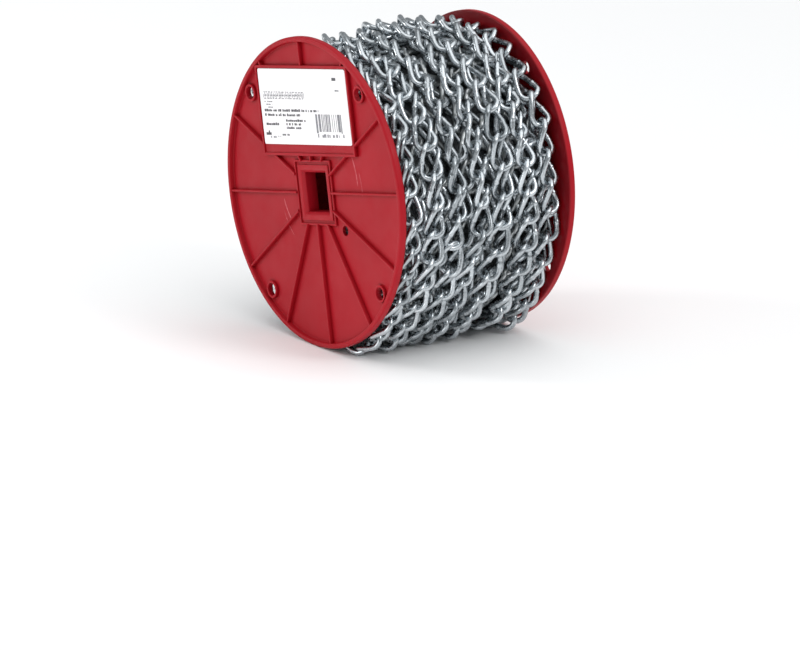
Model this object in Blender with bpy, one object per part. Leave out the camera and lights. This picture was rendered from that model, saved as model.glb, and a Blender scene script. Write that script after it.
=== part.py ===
"""A moulded plastic reel wound with twist-link steel chain, standing on its two flange rims.

The reel's axis lies along Y. The flange that carries the paper label faces -Y, and the floor is at Z = 0.
"""

import math

import bmesh
import bpy
from mathutils import Matrix, Vector

# Reel, in metres
FLANGE_RADIUS = 0.1016
FLANGE_DEPTH = 0.005
REEL_WIDTH = 0.1358
WEB_THICKNESS = 0.002
RIM_WIDTH = 0.0055
RIM_LIP = 0.0015
RIM_SIDES = 64
ROLL_IN_RIM_SIDES = 2

# Ribs on the flange's outer face
RIB_COUNT = 12
RIB_WIDTH = 0.0017
RIB_DROP = 0.0004

# Label panel and the label in it
LABEL_WIDTH = 0.1035
LABEL_THICKNESS = 0.0003
LABEL_SIDE_MARGIN = 0.0008
LABEL_BOTTOM_MARGIN = 0.0055
LABEL_TOP_MARGIN = 0.0004
FRAME_WIDTH = 0.0019
PANEL_FLOOR = 0.0037
PANEL_CORNER_INSET = 0.0025
HUB_TO_PANEL = 0.0036

# Square hub: a thin collar, a groove, a shallow funnel and the bore
BORE_SIDE = 0.0258
FUNNEL_WIDTH = 0.0049
FUNNEL_DROP = 0.0021
FUNNEL_DEPTH = 0.0014
GROOVE_WIDTH = 0.0011
GROOVE_DROP = 0.0033
COLLAR_WALL = 0.0014
COLLAR_DROP = 0.0015
SOCKET_WALL = 0.0026
SOCKET_LENGTH = 0.007

# Thin webs that tie the collar to the label panel's frame
TIE_WEB_PLACES = (-0.0145, -0.0006, 0.0124)
TIE_WEB_WIDTH = 0.0013
TIE_WEB_DROP = 0.0018

# Round holes
RIM_HOLE_COUNT = 4
RIM_HOLE_RADIUS = 0.0042
RIM_HOLE_INSET = 0.0106
BOSS_WALL = 0.0016
BOSS_DROP = 0.0011
TIE_HOLE_RADIUS = 0.0033
TIE_HOLE_TO_BARREL = 0.0058
TIE_HOLE_ANGLE_DEG = -39.9
HOLE_SIDES = 16

# Barrel between the flanges
BARREL_RADIUS = 0.0325
BARREL_WALL = 0.0022
BARREL_SIDES = 48
SPIGOT_WALL = 0.0018
SPIGOT_LENGTH = 0.0045

# Twist-link chain
WIRE = 0.0037
LINK_PITCH = 0.019
LINK_WIDTH = 0.0167
LINK_TWIST_DEG = 45.0
STEPS_PER_LINK = 4
SHIFT_STEPS_PER_TURN = 1
STRAND_CREST = 0.0022
EYE_DEPTH = 0.0125
NEXT_LAYER_DROP = 0.0064
GAP_DEPTH = 0.0125
UNDER_GAPS = 0.0016

# How the chain lies on the reel: it heaps up on top, and sags low down until it meets the floor
WINDING_RADIUS = 0.099
CROWN_RISE = 0.004
CROWN_PLACE = 0.0165
CROWN_SPREAD = 0.0267
SAG = 0.0137
SAG_POWER = 3
FLOOR_CLEARANCE = 0.0008

# Low down on its +X side, the first turns slide towards the label and leave a gap behind them
LEAN = 0.0075
LEANING_TURNS = 5
LEAN_FROM_DEG = 0.0
LEAN_MOST_DEG = -42.0
LEAN_END_DEG = -95.0

# Gap between pieces that touch, and how far a cutter runs past a face
FIT = 0.0003
THROUGH = 0.004
SMOOTH_UP_TO_DEG = 30.0

# Worked out from the sizes above
AXIS_HEIGHT = FLANGE_RADIUS * math.cos(math.pi / RIM_SIDES)
REST_ROLL = ROLL_IN_RIM_SIDES * 2 * math.pi / RIM_SIDES
INNER_HALF = REEL_WIDTH / 2 - FLANGE_DEPTH
WINDING_HALF = INNER_HALF - FIT
RIM_MIDDLE = FLANGE_RADIUS - RIM_WIDTH / 2
WEB_MIDDLE = WEB_THICKNESS / 2
RIB_TOP = FLANGE_DEPTH - RIB_DROP
COLLAR_TOP = FLANGE_DEPTH - COLLAR_DROP
FUNNEL_TOP = FLANGE_DEPTH - FUNNEL_DROP
FUNNEL_SIDE = BORE_SIDE + 2 * FUNNEL_WIDTH
COLLAR_INSIDE = FUNNEL_SIDE + 2 * GROOVE_WIDTH
HUB_SIDE = COLLAR_INSIDE + 2 * COLLAR_WALL
FIELD_HALF = LABEL_WIDTH / 2 + LABEL_SIDE_MARGIN
FRAME_HALF = FIELD_HALF + FRAME_WIDTH
FRAME_BOTTOM = HUB_SIDE / 2 + HUB_TO_PANEL
FRAME_TOP = math.sqrt((FLANGE_RADIUS - PANEL_CORNER_INSET) ** 2 - FRAME_HALF**2)
FIELD_BOTTOM = FRAME_BOTTOM + FRAME_WIDTH
FIELD_TOP = FRAME_TOP - FRAME_WIDTH
LAYER_DEPTH = GAP_DEPTH + UNDER_GAPS
LANES = int(2 * WINDING_HALF / LINK_WIDTH)
LANE_PITCH = 2 * WINDING_HALF / LANES

# Linear base colours
RED_PLASTIC = (0.41, 0.032, 0.042, 1.0)
ZINC_STEEL = (0.60, 0.62, 0.63, 1.0)
PAPER = (0.84, 0.83, 0.84, 1.0)


def clear_scene():
    for obj in list(bpy.data.objects):
        bpy.data.objects.remove(obj, do_unlink=True)


def material(name, colour, roughness, metallic):
    made = bpy.data.materials.new(name)
    made.use_nodes = True
    shader = made.node_tree.nodes["Principled BSDF"]
    shader.inputs["Base Color"].default_value = colour
    shader.inputs["Roughness"].default_value = roughness
    shader.inputs["Metallic"].default_value = metallic
    return made


def object_from(build, name):
    mesh = bpy.data.meshes.new(name)
    build.to_mesh(mesh)
    build.free()
    obj = bpy.data.objects.new(name, mesh)
    bpy.context.scene.collection.objects.link(obj)
    return obj


def dress(obj, surface):
    """Gives the piece its one material, and smooth shading on its round faces."""
    obj.data.materials.clear()
    obj.data.materials.append(surface)
    obj.data.shade_smooth()
    obj.data.set_sharp_from_angle(angle=math.radians(SMOOTH_UP_TO_DEG))


# Outlines, in the plane of the flange


def circle_outline(radius, sides, centre=(0.0, 0.0)):
    """Points of a regular polygon with a flat side facing straight down."""
    step = 2 * math.pi / sides
    angles = [(k + 0.5) * step - math.pi / 2 for k in range(sides)]
    return [(centre[0] + radius * math.cos(a), centre[1] + radius * math.sin(a)) for a in angles]


def box_outline(left, right, bottom, top):
    return [(left, bottom), (right, bottom), (right, top), (left, top)]


def square_outline(side):
    return box_outline(-side / 2, side / 2, -side / 2, side / 2)


def at_angle(radius, angle):
    return radius * math.cos(angle), radius * math.sin(angle)


# Solids from outlines


def loft(*levels):
    """A closed solid through flat outlines of equal point count, each an (outline, height), from the bottom up."""
    build = bmesh.new()
    rings = [[build.verts.new((x, y, height)) for x, y in outline] for outline, height in levels]
    build.faces.new(list(reversed(rings[0])))
    build.faces.new(rings[-1])
    for low, high in zip(rings, rings[1:]):
        for i in range(len(low)):
            j = (i + 1) % len(low)
            build.faces.new((low[i], low[j], high[j], high[i]))
    return build


def prism(outline, low, high):
    return loft((outline, low), (outline, high))


def combine(target, build, operation):
    """Joins a solid to the target, or cuts it away, and leaves no helper behind."""
    helper = object_from(build, "helper")
    step = target.modifiers.new(operation.title(), "BOOLEAN")
    step.operation = operation
    step.solver = "EXACT"
    step.object = helper
    bpy.context.view_layer.update()
    graph = bpy.context.evaluated_depsgraph_get()
    result = bpy.data.meshes.new_from_object(target.evaluated_get(graph))
    target.modifiers.clear()
    target.data = result
    bpy.data.objects.remove(helper, do_unlink=True)


# Flange features. A flange is built lying down, with its outer face up and its web on Z = 0


def add_ribs(flange):
    """Thin bars from the hub to the rim. The label panel is cut through them afterwards."""
    start = HUB_SIDE / 2 - COLLAR_WALL
    outline = box_outline(start, RIM_MIDDLE, -RIB_WIDTH / 2, RIB_WIDTH / 2)
    for number in range(RIB_COUNT):
        rib = prism(outline, WEB_MIDDLE, RIB_TOP)
        rib.transform(Matrix.Rotation(number * 2 * math.pi / RIB_COUNT, 4, "Z"))
        combine(flange, rib, "UNION")


def add_panel(flange):
    """The flat field that takes the paper label, with a raised frame round it."""
    frame = box_outline(-FRAME_HALF, FRAME_HALF, FRAME_BOTTOM, FRAME_TOP)
    field = box_outline(-FIELD_HALF, FIELD_HALF, FIELD_BOTTOM, FIELD_TOP)
    combine(flange, prism(frame, WEB_MIDDLE, RIB_TOP), "UNION")
    combine(flange, prism(field, PANEL_FLOOR, FLANGE_DEPTH + THROUGH), "DIFFERENCE")


def add_spigot(flange):
    """The ring that centres the barrel on the flange."""
    outer = BARREL_RADIUS - BARREL_WALL - FIT
    spigot = object_from(prism(circle_outline(outer, BARREL_SIDES), -SPIGOT_LENGTH, WEB_MIDDLE), "spigot")
    inside = prism(circle_outline(outer - SPIGOT_WALL, BARREL_SIDES), -SPIGOT_LENGTH - THROUGH, THROUGH)
    combine(spigot, inside, "DIFFERENCE")
    ring = bmesh.new()
    ring.from_mesh(spigot.data)
    bpy.data.objects.remove(spigot, do_unlink=True)
    combine(flange, ring, "UNION")


def add_hub(flange):
    """A square collar round a grooved funnel outside, a square socket inside the barrel, and the bore through both."""
    funnel = square_outline(FUNNEL_SIDE)
    narrow = square_outline(BORE_SIDE)
    groove_floor = FLANGE_DEPTH - GROOVE_DROP
    combine(flange, prism(square_outline(HUB_SIDE), WEB_MIDDLE, COLLAR_TOP), "UNION")
    combine(flange, prism(square_outline(COLLAR_INSIDE), groove_floor, FLANGE_DEPTH + THROUGH), "DIFFERENCE")
    combine(flange, prism(funnel, WEB_MIDDLE, FUNNEL_TOP), "UNION")
    combine(flange, prism(square_outline(BORE_SIDE + 2 * SOCKET_WALL), -SOCKET_LENGTH, WEB_MIDDLE), "UNION")
    wide_past_top = square_outline(FUNNEL_SIDE + 2 * FUNNEL_WIDTH * THROUGH / FUNNEL_DEPTH)
    combine(flange, loft((narrow, FUNNEL_TOP - FUNNEL_DEPTH), (wide_past_top, FUNNEL_TOP + THROUGH)), "DIFFERENCE")
    combine(flange, prism(narrow, -SOCKET_LENGTH - THROUGH, FLANGE_DEPTH), "DIFFERENCE")


def add_tie_webs(flange):
    """Three thin webs between the collar and the frame of the label panel."""
    for place in TIE_WEB_PLACES:
        outline = box_outline(place - TIE_WEB_WIDTH / 2, place + TIE_WEB_WIDTH / 2,
                              HUB_SIDE / 2 - COLLAR_WALL / 2, FRAME_BOTTOM + FRAME_WIDTH / 2)
        combine(flange, prism(outline, WEB_MIDDLE, FLANGE_DEPTH - TIE_WEB_DROP), "UNION")


def drill(flange, radius, centre):
    hole = circle_outline(radius, HOLE_SIDES, centre)
    combine(flange, prism(hole, -THROUGH, FLANGE_DEPTH + THROUGH), "DIFFERENCE")


def add_holes(flange):
    """Four bossed holes on the diagonals near the rim, and one small plain hole beside the barrel."""
    for number in range(RIM_HOLE_COUNT):
        angle = (number + 0.5) * 2 * math.pi / RIM_HOLE_COUNT
        centre = at_angle(FLANGE_RADIUS - RIM_HOLE_INSET, angle)
        boss = circle_outline(RIM_HOLE_RADIUS + BOSS_WALL, HOLE_SIDES, centre)
        combine(flange, prism(boss, WEB_MIDDLE, FLANGE_DEPTH - BOSS_DROP), "UNION")
        drill(flange, RIM_HOLE_RADIUS, centre)
    drill(flange, TIE_HOLE_RADIUS, at_angle(BARREL_RADIUS + TIE_HOLE_TO_BARREL, math.radians(TIE_HOLE_ANGLE_DEG)))


# Pieces of the reel. Each is stood up and hung from the reel's axis, which carries the rest roll


def stand_on(reel, obj, place, facing=-1):
    """Turns a piece that was built lying down so that its top faces -Y, or +Y for facing 1."""
    obj.parent = reel
    upright = Matrix.Rotation(math.pi / 2, 4, "X")
    about = Matrix.Rotation(math.pi if facing > 0 else 0.0, 4, "Z")
    obj.matrix_local = Matrix.Translation((0, place, 0)) @ about @ upright


def make_flange(name, plastic, reel, facing):
    """One moulding: web, rim, ribs, label panel, spigot, hub and holes."""
    disc = circle_outline(FLANGE_RADIUS, RIM_SIDES)
    face = circle_outline(FLANGE_RADIUS - RIM_LIP, RIM_SIDES)
    flange = object_from(loft((disc, 0.0), (disc, FLANGE_DEPTH - RIM_LIP), (face, FLANGE_DEPTH)), name)
    dish = circle_outline(FLANGE_RADIUS - RIM_WIDTH, RIM_SIDES)
    combine(flange, prism(dish, WEB_THICKNESS, FLANGE_DEPTH + THROUGH), "DIFFERENCE")
    add_ribs(flange)
    add_panel(flange)
    add_spigot(flange)
    add_hub(flange)
    add_tie_webs(flange)
    add_holes(flange)
    dress(flange, plastic)
    stand_on(reel, flange, facing * INNER_HALF, facing)


def make_barrel(plastic, reel):
    """The round tube between the flanges, centred on their spigots."""
    half = INNER_HALF - FIT
    barrel = object_from(prism(circle_outline(BARREL_RADIUS, BARREL_SIDES), -half, half), "barrel")
    inside = circle_outline(BARREL_RADIUS - BARREL_WALL, BARREL_SIDES)
    combine(barrel, prism(inside, -half - THROUGH, half + THROUGH), "DIFFERENCE")
    dress(barrel, plastic)
    stand_on(reel, barrel, 0.0)


def make_label(paper, reel):
    """The paper label, lying on the field of the front flange's panel."""
    bottom = FIELD_BOTTOM + LABEL_BOTTOM_MARGIN
    outline = box_outline(-LABEL_WIDTH / 2, LABEL_WIDTH / 2, bottom, FIELD_TOP - LABEL_TOP_MARGIN)
    low = PANEL_FLOOR + FIT
    label = object_from(prism(outline, low, low + LABEL_THICKNESS), "label")
    dress(label, paper)
    stand_on(reel, label, -INNER_HALF)


# The chain. It is built round the reel's axis in place, so its sag stays at the bottom


def strands_at(along):
    """How far a link's two strands lie sideways and above its middle, at a distance along it."""
    bend = (LINK_WIDTH - WIRE) / 2
    half_length = (LINK_PITCH + WIRE) / 2
    past_straight = max(0.0, abs(along) - (half_length - bend))
    spread = math.sqrt(max(bend**2 - past_straight**2, 0.0))
    twist = math.radians(LINK_TWIST_DEG) * along / half_length
    return spread * math.cos(twist), spread * math.sin(twist)


def link_rise():
    """How high the twisted link stands above its own middle."""
    samples = 40
    half_length = (LINK_PITCH + WIRE) / 2
    return WIRE / 2 + max(strands_at(half_length * k / samples)[1] for k in range(samples + 1))


RISE = link_rise()
LINKS_PER_TURN = round(2 * math.pi * (WINDING_RADIUS - RISE) / LINK_PITCH)


def winding_reach(angle):
    """How far the wound chain reaches from the axis, with its sag, down to just above the floor."""
    down = max(0.0, -math.sin(angle))
    reach = WINDING_RADIUS + SAG * down**SAG_POWER
    floor_reach = AXIS_HEIGHT - FLOOR_CLEARANCE
    return min(reach, floor_reach / down) if down > 0 else reach


def crown(across, angle):
    """How much higher the chain heaps on top of the reel, most of all towards the back flange."""
    up = max(0.0, math.sin(angle))
    return CROWN_RISE * up * math.exp(-(((across - CROWN_PLACE) / CROWN_SPREAD) ** 2))


def ease(value):
    t = min(max(value, 0.0), 1.0)
    return t * t * (3 - 2 * t)


def lane_middle(lane, angle):
    """Where a turn's middle lies across the reel, with its lean. Leaning turns share the slide between them."""
    middle = -WINDING_HALF + (lane + 0.5) * LANE_PITCH
    if lane >= LEANING_TURNS:
        return middle
    degrees = (math.degrees(angle) + 180) % 360 - 180
    grows = ease((LEAN_FROM_DEG - degrees) / (LEAN_FROM_DEG - LEAN_MOST_DEG))
    fades = 1 - ease((LEAN_MOST_DEG - degrees) / (LEAN_MOST_DEG - LEAN_END_DEG))
    return middle - LEAN * grows * fades * (lane + 0.5) / (LEANING_TURNS - 0.5)


def step_of(number, turns):
    """Which step of its link a cross-section cuts, after that many turns, each of which shifts the links on."""
    return int(number + turns * SHIFT_STEPS_PER_TURN) % STEPS_PER_LINK


def link_relief(step):
    """Left strand, eye and right strand of a link, as (sideways, height above its middle) points."""
    along = (step / STEPS_PER_LINK - 0.5) * LINK_PITCH
    sideways, tilt = strands_at(along)
    left, eye, right = tilt + WIRE / 2, RISE - EYE_DEPTH, WIRE / 2 - tilt
    if step == 0:
        left, eye, right = abs(tilt) + WIRE / 2, abs(tilt), abs(tilt) + WIRE / 2
    crest = STRAND_CREST / 2
    points = [(-sideways - crest, left), (-sideways + crest, left), (0.0, eye)]
    return points + [(sideways - crest, right), (sideways + crest, right)]


def gap_depth(step):
    """How deep the gap between two turns is. The next layer's links lie under it, and its joints fill it higher."""
    if step != 0:
        return GAP_DEPTH
    joint = abs(strands_at(LINK_PITCH / 2)[1]) + WIRE / 2
    return NEXT_LAYER_DROP + RISE - joint


def layer_section(number, angle):
    """One cross-section of the outer layer, as (across, distance from the axis) points."""
    reach = winding_reach(angle)
    middles = [lane_middle(lane, angle) for lane in range(LANES)]
    gaps = [-WINDING_HALF] + [(a + b) / 2 for a, b in zip(middles, middles[1:])] + [WINDING_HALF]
    section = [(-WINDING_HALF, reach - LAYER_DEPTH)]
    for lane, middle in enumerate(middles):
        centre = reach + crown(middle, angle) - RISE
        section.append((gaps[lane], reach - gap_depth(step_of(number + STEPS_PER_LINK // 2, lane))))
        relief = link_relief(step_of(number, lane))
        section += [(middle + across, centre + height) for across, height in relief]
    section.append((WINDING_HALF, reach - gap_depth(step_of(number + STEPS_PER_LINK // 2, LANES))))
    section.append((WINDING_HALF, reach - LAYER_DEPTH))
    return section


def sweep_round(sections):
    """A closed ring round the reel's axis, through (angle, section) pairs of equal point count."""
    build = bmesh.new()
    rings = []
    for angle, section in sections:
        x, z = math.cos(angle), math.sin(angle)
        rings.append([build.verts.new(Vector((r * x, y, AXIS_HEIGHT + r * z))) for y, r in section])
    for i, ring in enumerate(rings):
        after = rings[(i + 1) % len(rings)]
        for k in range(len(ring)):
            m = (k + 1) % len(ring)
            build.faces.new((ring[k], ring[m], after[m], after[k]))
    bmesh.ops.recalc_face_normals(build, faces=build.faces)
    return build


def make_outer_layer(steel):
    """The chain that shows, as one solid, with the gaps between its turns and its links' eyes cut deep into it."""
    total = LINKS_PER_TURN * STEPS_PER_LINK
    angles = [2 * math.pi * i / total for i in range(total)]
    sections = [(angle, layer_section(i, angle)) for i, angle in enumerate(angles)]
    dress(object_from(sweep_round(sections), "chain_outer_layer"), steel)


def make_inner_layers(steel):
    """The buried layers of chain, from the barrel out to the outer layer, as one plain core."""
    inside = BARREL_RADIUS + FIT
    total = LINKS_PER_TURN * STEPS_PER_LINK
    sections = []
    for i in range(total):
        angle = 2 * math.pi * i / total
        outside = winding_reach(angle) - LAYER_DEPTH - FIT
        corners = [(-WINDING_HALF, inside), (-WINDING_HALF, outside), (WINDING_HALF, outside), (WINDING_HALF, inside)]
        sections.append((angle, corners))
    dress(object_from(sweep_round(sections), "chain_inner_layers"), steel)


def main():
    clear_scene()
    plastic = material("red_plastic", RED_PLASTIC, 0.42, 0.0)
    steel = material("zinc_steel", ZINC_STEEL, 0.28, 1.0)
    paper = material("paper", PAPER, 0.6, 0.0)
    reel = bpy.data.objects.new("reel", None)
    bpy.context.scene.collection.objects.link(reel)
    reel.location = (0, 0, AXIS_HEIGHT)
    reel.rotation_euler = (0, -REST_ROLL, 0)
    make_flange("flange_front", plastic, reel, -1)
    make_flange("flange_back", plastic, reel, 1)
    make_barrel(plastic, reel)
    make_label(paper, reel)
    make_outer_layer(steel)
    make_inner_layers(steel)


main()
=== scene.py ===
# %% [markdown]
# # A reel of twist-link chain
#
# The object is a moulded plastic reel, wound full of zinc-plated chain. It stands on the rims of its two
# flanges, with its axis level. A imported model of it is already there, with each solid at its real size.
# This lesson dresses that model: it builds finer flanges, a printed label and hundreds of real links.
#
# Everything is in metres, with Z up. The reel's axis lies along Y, and the labelled flange faces -Y.

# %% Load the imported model
import math

import bmesh
import bpy
import numpy as np
from mathutils import Matrix, Vector


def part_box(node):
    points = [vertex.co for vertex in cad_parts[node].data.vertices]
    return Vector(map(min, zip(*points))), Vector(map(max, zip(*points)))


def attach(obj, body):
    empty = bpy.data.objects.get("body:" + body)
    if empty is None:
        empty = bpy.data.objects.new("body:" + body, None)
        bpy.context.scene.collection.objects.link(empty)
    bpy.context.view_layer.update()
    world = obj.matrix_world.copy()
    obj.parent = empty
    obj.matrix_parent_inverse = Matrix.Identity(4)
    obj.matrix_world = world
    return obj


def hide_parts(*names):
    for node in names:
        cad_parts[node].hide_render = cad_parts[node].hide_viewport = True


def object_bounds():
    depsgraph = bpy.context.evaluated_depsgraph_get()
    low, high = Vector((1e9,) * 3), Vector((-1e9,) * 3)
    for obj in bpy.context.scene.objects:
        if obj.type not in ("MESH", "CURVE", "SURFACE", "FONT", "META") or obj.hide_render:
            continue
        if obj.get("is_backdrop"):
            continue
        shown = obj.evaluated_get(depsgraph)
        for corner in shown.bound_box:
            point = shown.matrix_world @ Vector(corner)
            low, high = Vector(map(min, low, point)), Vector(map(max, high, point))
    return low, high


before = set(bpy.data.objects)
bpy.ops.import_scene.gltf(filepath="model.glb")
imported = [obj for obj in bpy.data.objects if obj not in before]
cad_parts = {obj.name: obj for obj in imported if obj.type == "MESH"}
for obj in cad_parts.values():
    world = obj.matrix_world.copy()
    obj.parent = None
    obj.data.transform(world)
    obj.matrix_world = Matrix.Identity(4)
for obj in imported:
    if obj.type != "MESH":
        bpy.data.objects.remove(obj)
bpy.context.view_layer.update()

# %% [markdown]
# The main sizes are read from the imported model, so the dressed reel can't drift away from it. A flange is
# a polygon of many sides with a flat side down, so its height is a little less than its full diameter.

# %% Sizes of the reel
RIM_SIDES = 64
front_low, front_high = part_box("flange_front")
back_low, back_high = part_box("flange_back")

AXIS_HEIGHT = (front_low[2] + front_high[2]) / 2
FLANGE_RADIUS = (front_high[2] - front_low[2]) / 2 / math.cos(math.pi / RIM_SIDES)
REEL_HALF = (back_high[1] - front_low[1]) / 2
FLANGE_DEPTH = 0.005
INNER_HALF = REEL_HALF - FLANGE_DEPTH
REST_ROLL = math.radians(11.25)
CENTRE = Vector((0, 0, AXIS_HEIGHT))
print(f"flange radius {FLANGE_RADIUS * 1000:.1f} mm, width over the flanges {REEL_HALF * 2000:.1f} mm")

# %% [markdown]
# ## Camera
#
# A long lens from far away flattens the perspective, as product photographs do. The reel sits in the upper
# part of the picture, so the camera is aimed a little below the reel's centre. Tilting the camera does
# that with no lens shift.

# %% Camera
PICTURE_WIDTH, PICTURE_HEIGHT = 800, 651
VIEW_AZIMUTH = math.radians(56.2)
VIEW_ELEVATION = math.radians(14.5)
VIEW_DISTANCE = 80 * FLANGE_RADIUS
REEL_RADIUS_IN_PIXELS = 157.06
REEL_AT_PIXEL = (400.4, 178.4)
SENSOR = 36.0
FAR_CLIP = 100


def direction(azimuth, elevation):
    """Points from the reel towards a viewer at these angles. Azimuth 0 is straight in front of the label."""
    level = math.cos(elevation)
    return Vector((math.sin(azimuth) * level, -math.cos(azimuth) * level, math.sin(elevation)))


focal_pixels = REEL_RADIUS_IN_PIXELS * VIEW_DISTANCE / FLANGE_RADIUS
towards_viewer = direction(VIEW_AZIMUTH, VIEW_ELEVATION)
look = -towards_viewer
side = look.cross(Vector((0, 0, 1))).normalized()
above = side.cross(look)
turn_down = math.atan((PICTURE_HEIGHT / 2 - REEL_AT_PIXEL[1]) / focal_pixels)
turn_side = math.atan((PICTURE_WIDTH / 2 - REEL_AT_PIXEL[0]) / focal_pixels)
aim = (look - above * math.tan(turn_down) + side * math.tan(turn_side)).normalized()

camera_data = bpy.data.cameras.new("camera")
camera = bpy.data.objects.new("camera", camera_data)
bpy.context.scene.collection.objects.link(camera)
camera_data.sensor_width = SENSOR
camera_data.lens = SENSOR * focal_pixels / PICTURE_WIDTH
camera_data.clip_end = FAR_CLIP
camera.location = CENTRE + towards_viewer * VIEW_DISTANCE
camera.rotation_mode = "QUATERNION"
camera.rotation_quaternion = aim.to_track_quat("-Z", "Y")
bpy.context.scene.camera = camera
print(f"lens {camera_data.lens:.0f} mm, {VIEW_DISTANCE:.2f} m away")

# %% [markdown]
# ## Materials
#
# Each finish is one Principled shader fed by procedural noise. Noise in the colour gives uneven moulding
# or plating, noise in the roughness breaks up the shine, and fine noise through a Bump node gives the
# surface its tooth. Values that are the same everywhere stay on the shader's own sockets.

# %% Material helper


class Finish:
    """A node material under construction, with short ways to add the nodes that the finishes share."""

    def __init__(self, name, metallic, roughness, colour):
        self.material = bpy.data.materials.new(name)
        self.material.use_nodes = True
        self.tree = self.material.node_tree
        self.shader = self.tree.nodes["Principled BSDF"]
        self.shader.inputs["Metallic"].default_value = metallic
        self.shader.inputs["Roughness"].default_value = roughness
        self.shader.inputs["Base Color"].default_value = (*colour, 1)
        self.place = self.node("ShaderNodeTexCoord").outputs["Object"]

    def node(self, kind, **settings):
        made = self.tree.nodes.new(kind)
        for key, value in settings.items():
            setattr(made, key, value)
        return made

    def link(self, source, target):
        self.tree.links.new(source, target)

    def noise(self, scale, detail):
        made = self.node("ShaderNodeTexNoise")
        made.inputs["Scale"].default_value = scale
        made.inputs["Detail"].default_value = detail
        self.link(self.place, made.inputs["Vector"])
        return made.outputs["Fac"]

    def spread(self, source, low, high, start=0.3, end=0.7):
        """Turns values between start and end, where most noise lies, into values from low to high."""
        made = self.node("ShaderNodeMapRange")
        for key, value in (("From Min", start), ("From Max", end), ("To Min", low), ("To Max", high)):
            made.inputs[key].default_value = value
        self.link(source, made.inputs["Value"])
        return made.outputs["Result"]

    def maths(self, operation, first, second):
        made = self.node("ShaderNodeMath", operation=operation)
        self.link(first, made.inputs[0])
        self.link(second, made.inputs[1])
        return made.outputs["Value"]

    def part_of(self, vector, axis):
        made = self.node("ShaderNodeSeparateXYZ")
        self.link(vector, made.inputs["Vector"])
        return made.outputs[axis]

    def blend(self, amount, first, second):
        """Mixes two colours, each a triple or another node's output."""
        made = self.node("ShaderNodeMix", data_type="RGBA")
        self.link(amount, made.inputs["Factor"])
        for key, value in (("A", first), ("B", second)):
            socket = next(s for s in made.inputs if s.name == key and s.type == "RGBA")
            if isinstance(value, tuple):
                socket.default_value = (*value, 1)
            else:
                self.link(value, socket)
        return next(s for s in made.outputs if s.type == "RGBA")

    def drifting(self, first, second, scale, detail):
        """A colour that drifts between two others."""
        return self.blend(self.spread(self.noise(scale, detail), 0, 1), first, second)

    def use_colour(self, colour):
        self.link(colour, self.shader.inputs["Base Color"])

    def use_shine(self, smooth, rough, scale, detail):
        """Roughness that drifts between two values."""
        self.link(self.spread(self.noise(scale, detail), smooth, rough), self.shader.inputs["Roughness"])

    def use_tooth(self, depth, strength, scale, detail):
        """Fine relief that is seen in the shading only."""
        made = self.node("ShaderNodeBump")
        made.inputs["Distance"].default_value = depth
        made.inputs["Strength"].default_value = strength
        self.link(self.noise(scale, detail), made.inputs["Height"])
        self.link(made.outputs["Normal"], self.shader.inputs["Normal"])


# %% [markdown]
# Shade is painted into the plastic's colour: it is darker in its corners, where shade falls, and on the
# sides of the flanges that face the chain, which lie in the winding's shade. A corner is found by how much
# of its surroundings a point can see. A face looks towards the chain where its normal and its place have
# opposite signs along the reel's axis, so that their product is below zero.

# %% Red moulded plastic
PLASTIC_DEEP = (0.335, 0.004, 0.011)
PLASTIC_BRIGHT = (0.385, 0.008, 0.017)
PLASTIC_SPECULAR = 0.15
# Painted shade: corners, where shade falls, are darkened towards this colour.
PAINTED_CORNER_SHADE = (0.25, 0.001, 0.004)
CORNER_REACH = 0.0032
CORNER_CLOSED, CORNER_OPEN = 0.45, 0.95
# Painted shade: the sides of the flanges that face the chain are darkened towards this colour, as if in the
# winding's shade.
PAINTED_INNER_SHADE = (0.19, 0.002, 0.006)
INWARD_PRODUCT = 0.02


def red_plastic(name):
    """Satin red moulding with faint flow marks, and painted shade in its corners and on the sides that face
    the chain.
    """
    finish = Finish(name, metallic=0.0, roughness=0.42, colour=PLASTIC_DEEP)
    finish.shader.inputs["Specular IOR Level"].default_value = PLASTIC_SPECULAR
    colour = finish.drifting(PLASTIC_DEEP, PLASTIC_BRIGHT, scale=18, detail=4)
    # Painted shade on the faces that look towards the chain.
    facing = finish.node("ShaderNodeTexCoord").outputs["Normal"]
    outward = finish.maths("MULTIPLY", finish.part_of(facing, "Y"), finish.part_of(finish.place, "Y"))
    colour = finish.blend(finish.spread(outward, 0, 1, -INWARD_PRODUCT, 0), PAINTED_INNER_SHADE, colour)
    # Painted shade in the corners, found by an ambient occlusion node.
    corner = finish.node("ShaderNodeAmbientOcclusion", samples=8)
    corner.inputs["Distance"].default_value = CORNER_REACH
    openness = finish.spread(corner.outputs["AO"], 0, 1, CORNER_CLOSED, CORNER_OPEN)
    finish.use_colour(finish.blend(openness, PAINTED_CORNER_SHADE, colour))
    finish.use_shine(smooth=0.34, rough=0.50, scale=90, detail=5)
    finish.use_tooth(depth=0.00006, strength=0.5, scale=1400, detail=2)
    return finish.material


plastic = red_plastic("red_plastic")
print("made", plastic.name)

# %% [markdown]
# Zinc plate is a metal with a cool, slightly uneven colour. Each link also has a tone of its own, stored
# on the mesh, because plated links never match exactly. That small difference keeps a wound layer from
# looking like one repeated shape.

# %% Zinc-plated wire
ZINC_DULL = (0.33, 0.36, 0.38)
ZINC_BRIGHT = (0.63, 0.67, 0.70)
# Painted shade: the deepest layer of links gets this darker copy of the zinc, as if in the winding's shade.
SHADED_ZINC_DULL = (0.30, 0.32, 0.325)
SHADED_ZINC_BRIGHT = (0.56, 0.58, 0.585)
MOTTLE = 0.18


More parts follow.
